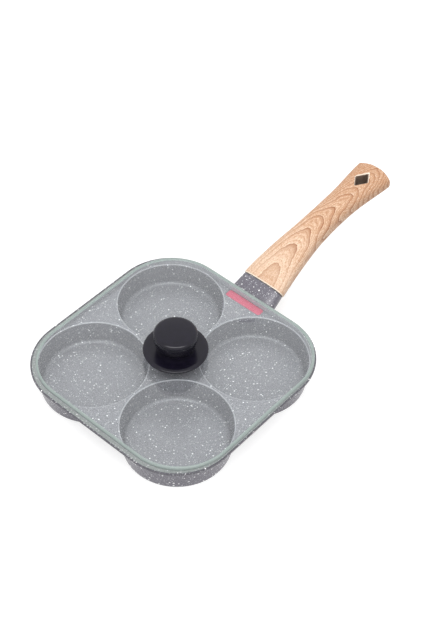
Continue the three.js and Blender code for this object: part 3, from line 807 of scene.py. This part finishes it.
def grip_top(x, y, side):
    """Height of the grip's upper (side 1) or lower (side -1) face near the hang hole."""
    t = (x - ROOT_X) / (GRIP_END - ROOT_X)
    for _ in range(12):
        (cx, _z), (run, _rise) = grip_line(t)
        t += (x - cx) / run / (GRIP_END - ROOT_X)
    (_x, z), _tangent = grip_line(t)
    share = min(abs(y) / stations(GRIP_HALF_WIDTHS, t), 1)
    return z + side * stations(GRIP_HALF_THICKS, t) * (1 - share ** SQUARENESS) ** (1 / SQUARENESS)


def hole_cutter():
    """Diamond column with flared mouths that leave a chamfer round the hole."""
    build = Builder()
    loops = []
    mid = grip_top(HOLE_X, 0, 1)
    bottom = grip_top(HOLE_X, 0, -1)
    chamfer = HOLE_CHAMFER
    for inset, z in (
        (-3 * chamfer, bottom - 3 * chamfer),
        (0, bottom + chamfer),
        (0, mid - chamfer),
        (-3 * chamfer, mid + 2 * chamfer),
    ):
        loops.append([(x, y, z) for x, y in diamond_loop(inset)])
    # The flared mouths cut chamfers, which take the second finish: a painted highlight.
    rows = build.loft(loops, [TRIM, PLAIN, TRIM])
    build.cap(rows[0], (HOLE_X, 0, loops[0][0][2]))
    build.cap(rows[-1], (HOLE_X, 0, loops[-1][0][2]))
    return build.finish("hole_cutter")


def screw_cutter():
    """Recess for the screw head, from below."""
    build = Builder()
    loops = []
    for z in (-SCREW_SEAT, -SCREW_SEAT - 3 * SCREW_BORE_R):
        circle = circle_loop(SCREW_FROM_COLLAR, 0, SCREW_BORE_R, z, KNOB_SEGMENTS)
        loops.append([on_slope(*point) for point in circle])
    rows = build.loft(loops)
    for row, z in zip(rows, (-SCREW_SEAT, -SCREW_SEAT - 3 * SCREW_BORE_R)):
        build.cap(row, on_slope(SCREW_FROM_COLLAR, 0, z))
    return build.finish("screw_cutter")


def carve(piece, cutter):
    """Cut one mesh by another and keep the result in the piece."""
    modifier = piece.modifiers.new("cut", "BOOLEAN")
    modifier.operation = "DIFFERENCE"
    modifier.solver = "EXACT"
    modifier.object = cutter
    made = evaluated_mesh(piece)
    piece.modifiers.clear()
    old = piece.data
    piece.data = made
    made.name = old.name
    bpy.data.meshes.remove(old)
    bpy.data.objects.remove(cutter)
    shade_smooth(made)


def wood_grip(finish, edge):
    build = Builder()
    soft = SEAM_EDGE / (GRIP_END - ROOT_X)
    loops = [grip_ring(0, 2 * EDGE_SOFT), grip_ring(soft / 3, EDGE_SOFT / 2), grip_ring(soft)]
    for i in range(1, GRIP_STEPS):
        share = i / GRIP_STEPS
        loops.append(grip_ring(soft + (1 - soft) * (1 - (1 - share) ** 1.5)))
    # The first rings at the collar seam take the second finish: a painted highlight.
    rows = build.loft(loops, [TRIM, TRIM] + [PLAIN] * len(loops))
    (x, z), _tangent = grip_line(0)
    build.cap(rows[0], (x, 0, z))
    build.cap(rows[-1], (GRIP_END, 0, END_HEIGHT))
    piece = build.finish("wood_grip")
    carve(piece, hole_cutter())
    carve(piece, screw_cutter())
    return dress(piece, "pan", "handle_grip", "wood_look", finish, edge)


def hole_liner(finish):
    """Dark sleeve in the hang hole, sunk a little below both faces."""
    build = Builder()
    loops = []
    for inset, side in ((LINER_FIT, -1), (LINER_FIT, 1), (LINER_WALL, 1), (LINER_WALL, -1)):
        loop = []
        for x, y in diamond_loop(inset):
            loop.append((x, y, grip_top(x, y, side) - side * LINER_SUNK))
        loops.append(loop)
    rows = build.loft(loops)
    build.bridge(rows[-1], rows[0])
    return dress(build.finish("hole_liner"), "pan", "hang_hole_liner", "dark_plastic", finish)


# Lid

def glass_pane(clear, edge):
    build = Builder()
    low, high = GLASS_LOW.z, GLASS_HIGH.z
    middle = (low + high) / 2
    profile = []
    for across, up in arc(0, 0, 1, -90, 90, 3 * ROUND_STEPS):
        half = GLASS_HALF - GLASS_EDGE_BAND * (1 - across)
        profile.append((half, middle + up * (high - middle)))
    edge_slots = [TRIM] * len(profile)
    rows = build.loft([square_loop(LID_X, LID_Y, half, z) for half, z in profile], edge_slots)
    hole = []
    for x, y, _z in square_loop(0, 0, GLASS_HALF, 0):
        angle = math.atan2(y, x)
        hole.append((LID_X + GLASS_HOLE_R * math.cos(angle), LID_Y + GLASS_HOLE_R * math.sin(angle)))
    top = build.loop([(x, y, high) for x, y in hole])
    bottom = build.loop([(x, y, low) for x, y in hole])
    build.bridge(rows[-1], top)
    build.bridge(top, bottom)
    build.bridge(bottom, rows[0])
    piece = dress(build.finish("glass_pane"), "lid", "lid_glass", "clear_glass", clear, edge)
    piece.visible_shadow = False
    piece.visible_diffuse = False
    return piece


def skirt_piece(finish):
    build = Builder()
    low, high = SKIRT_LOW.z, SKIRT_HIGH.z
    radius = (SKIRT_HIGH.x - SKIRT_LOW.x) / 2
    edge = low + SKIRT_UNDER
    bead = SKIRT_EDGE / 2
    dish = edge + SKIRT_EDGE + EDGE_SOFT
    turn = bezier(
        (radius, edge + bead),
        (radius, edge + SKIRT_EDGE),
        (radius - SKIRT_TURN, dish),
        ROUND_STEPS,
    )
    profile = [
        (KNOB_BORE, low),
        (SKIRT_FOOT_R - EDGE_SOFT, low),
        (SKIRT_FOOT_R, low + EDGE_SOFT),
        (SKIRT_FOOT_R, low + SKIRT_FOOT_RISE),
        *arc(radius - bead, edge + bead, bead, -70, 0),
        *turn[1:],
        (NECK_R, dish),
        (NECK_R, high),
        (KNOB_BORE, high),
    ]
    rows = build.lathe(profile, LID_X, LID_Y, KNOB_SEGMENTS)
    build.bridge(rows[-1], rows[0])
    return dress(build.finish("skirt_piece"), "lid", "knob_skirt", "satin_black", finish)


def head_piece(finish):
    build = Builder()
    low, high = HEAD_LOW.z, HEAD_HIGH.z
    radius = (HEAD_HIGH.x - HEAD_LOW.x) / 2
    turn = HEAD_EDGE_ROUND
    wide = high - HEAD_CROWN - HEAD_EDGE_DROP
    flare = bezier((NECK_R, low), (radius, lerp(low, wide, 0.35)), (radius, wide), 2 * ROUND_STEPS)
    brow = (radius - turn, high - HEAD_CROWN)
    crown = bezier(brow, (radius / 2, high), (KNOB_BORE, high), 2 * ROUND_STEPS)
    edge = []
    for across, up in arc(0, 0, 1, 0, 84, 2 * ROUND_STEPS):
        edge.append((radius - turn * (1 - across), wide + HEAD_EDGE_DROP * up))
    profile = [(KNOB_BORE, low), *flare, *edge[1:], *crown[1:]]
    build.lathe(profile, LID_X, LID_Y, KNOB_SEGMENTS, start_cap=True, end_cap=True)
    return dress(build.finish("head_piece"), "lid", "knob_head", "satin_black", finish)


def finish_node(node, finish):
    """Give a carried-over CAD node its own finish."""
    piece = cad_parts[node]
    piece.data.materials.clear()
    piece.data.materials.append(finish)


# Stage

def white_floor():
    """Pale floor that stays white in view and keeps a soft shadow."""
    data = bpy.data.meshes.new("floor")
    corners = [(-FLOOR_REACH, -FLOOR_REACH), (FLOOR_REACH, -FLOOR_REACH)]
    corners += [(FLOOR_REACH, FLOOR_REACH), (-FLOOR_REACH, FLOOR_REACH)]
    data.from_pydata([(x, y, 0) for x, y in corners], [], [range(4)])
    floor = bpy.data.objects.new("floor", data)
    bpy.context.scene.collection.objects.link(floor)
    shader = Shader("floor_white", Roughness=0.9, Specular_IOR_Level=0)
    tone = shader.remap(shader.noise(3, 2), 0.3, 0.7)
    shader.color(shader.mix(tone, *FLOOR_TONES))
    rays = shader.add("ShaderNodeLightPath")
    seen = shader.math("MAXIMUM", rays.outputs["Is Camera Ray"], rays.outputs["Is Glossy Ray"])
    seen = shader.math("MAXIMUM", seen, rays.outputs["Is Transmission Ray"])
    shader.surface.inputs["Emission Color"].default_value = (1, 1, 1, 1)
    shader.feed(shader.math("MULTIPLY", seen, FLOOR_LIFT), shader.surface.inputs["Emission Strength"])
    data.materials.append(shader.material)


def white_room():
    """White surroundings, dimmer as a light than as a view."""
    world = bpy.data.worlds.new("room")
    bpy.context.scene.world = world
    world.use_nodes = True
    nodes, links = world.node_tree.nodes, world.node_tree.links
    sky = nodes["Background"]
    rays = nodes.new("ShaderNodeLightPath")
    seen = rays.outputs["Is Camera Ray"]
    for ray in ("Is Glossy Ray", "Is Transmission Ray"):
        either = nodes.new("ShaderNodeMath")
        either.operation = "MAXIMUM"
        links.new(seen, either.inputs[0])
        links.new(rays.outputs[ray], either.inputs[1])
        seen = either.outputs[0]
    level = nodes.new("ShaderNodeMapRange")
    level.inputs["To Min"].default_value = ROOM_LIGHT
    level.inputs["To Max"].default_value = 1
    links.new(seen, level.inputs["Value"])
    sky.inputs["Color"].default_value = (1, 1, 1, 1)
    links.new(level.outputs["Result"], sky.inputs["Strength"])


def soft_light(name, away, height, size, power, mirrored):
    """A wide soft light above the pan, away from the camera when away is positive."""
    data = bpy.data.lights.new(name, "AREA")
    data.shape = "RECTANGLE"
    data.size, data.size_y = size
    data.energy = power
    light = bpy.data.objects.new(name, data)
    target = Vector((PAN_X * MM, 0, 0))
    aside = Vector((-math.sin(CAMERA_AZIMUTH), math.cos(CAMERA_AZIMUTH), 0))
    light.location = target + away * aside + Vector((0, 0, height))
    light.rotation_euler = (target - light.location).to_track_quat("-Z", "Y").to_euler()
    light.visible_glossy = mirrored
    light.visible_transmission = mirrored
    bpy.context.scene.collection.objects.link(light)


def camera():
    """The photograph's viewpoint: the cup rims are seen lifted a little by the glass."""
    a, e, r = CAMERA_AZIMUTH, CAMERA_ELEVATION, CAMERA_ROLL
    back = Vector((math.sin(a) * math.cos(e), -math.cos(a) * math.cos(e), math.sin(e)))
    level_right = Vector((math.cos(a), math.sin(a), 0))
    level_up = back.cross(level_right)
    right = math.cos(r) * level_right + math.sin(r) * level_up
    up = math.cos(r) * level_up - math.sin(r) * level_right
    aim = Vector((PAN_X, 0, WEB_TOP + GLASS_LIFT))
    eye = aim + CAMERA_RIGHT * right + CAMERA_UP * up + CAMERA_DISTANCE * back
    data = bpy.data.cameras.new("camera")
    data.sensor_fit = "VERTICAL"
    data.sensor_height = CAMERA_SENSOR
    data.lens = CAMERA_LENS
    holder = bpy.data.objects.new("camera", data)
    turn = Matrix((right, up, back)).transposed().to_4x4()
    holder.matrix_world = Matrix.Translation(eye * MM) @ turn
    bpy.context.scene.collection.objects.link(holder)
    bpy.context.scene.camera = holder


# The object

coating = speckled_coating("speckled_coating", rgb(122, 122, 127), rgb(147, 147, 151))
# A darker copy of the coating for the pan's outside: painted shade.
shaded_outer_coating = speckled_coating(
    "shaded_outer_coating",
    rgb(102, 100, 110),
    rgb(128, 125, 135),
    speck_scale=360,
    speck_size=0.34,
    speck_share=0.8,
)
collar_coating = speckled_coating(
    "collar_coating",
    rgb(92, 90, 99),
    rgb(122, 119, 128),
    speck_scale=440,
    speck_size=0.29,
    speck_share=0.7,
)
# A dark copy of the coating for the lip and the collar's seam rims: painted shade.
shaded_rim_coating = speckled_coating("shaded_rim_coating", rgb(72, 71, 78), rgb(94, 92, 100))
# A pale copy of the coating for the cup mouths and the inner step: painted highlight.
highlight_coating = speckled_coating("highlight_coating", rgb(164, 165, 170), rgb(184, 184, 188))
# A greenish copy of the coating for the ledge under the glass edge: painted green tint of light
# through the glass edge.
glass_tinted_ledge = speckled_coating(
    "glass_tinted_ledge",
    rgb(125, 130, 129),
    rgb(144, 149, 148),
    speck_size=0.22,
    speck_share=0.4,
)
steel = plated_metal("zinc_steel", (0.62, 0.63, 0.65, 1), (0.5, 0.51, 0.53, 1))
brass = plated_metal("brass", (0.72, 0.52, 0.22, 1), (0.6, 0.42, 0.16, 1))
black = satin_black()
rubber = silicone()

pan_casting(coating, shaded_outer_coating, shaded_rim_coating, highlight_coating, glass_tinted_ledge)
label_strip(pink_strip())
collar_sleeve(collar_coating, shaded_rim_coating)
wood_grip(wood_look(), painted_edge_highlight())
hole_liner(dark_plastic())
glass_pane(clear_glass(), ground_edge())
skirt_piece(black)
head_piece(black)
for node in ("handle_screw", "handle_spring_washer", "knob_washer", "knob_screw"):
    finish_node(node, steel)
for node in ("knob_upper_gasket", "knob_lower_gasket"):
    finish_node(node, rubber)
finish_node("knob_insert", brass)

white_floor()
white_room()
soft_light("key", *KEY_LIGHT, mirrored=False)
soft_light("fill", *FILL_LIGHT, mirrored=False)
soft_light("catch", *CATCH_LIGHT, mirrored=True)
camera()
bpy.context.scene.view_settings.view_transform = "Standard"
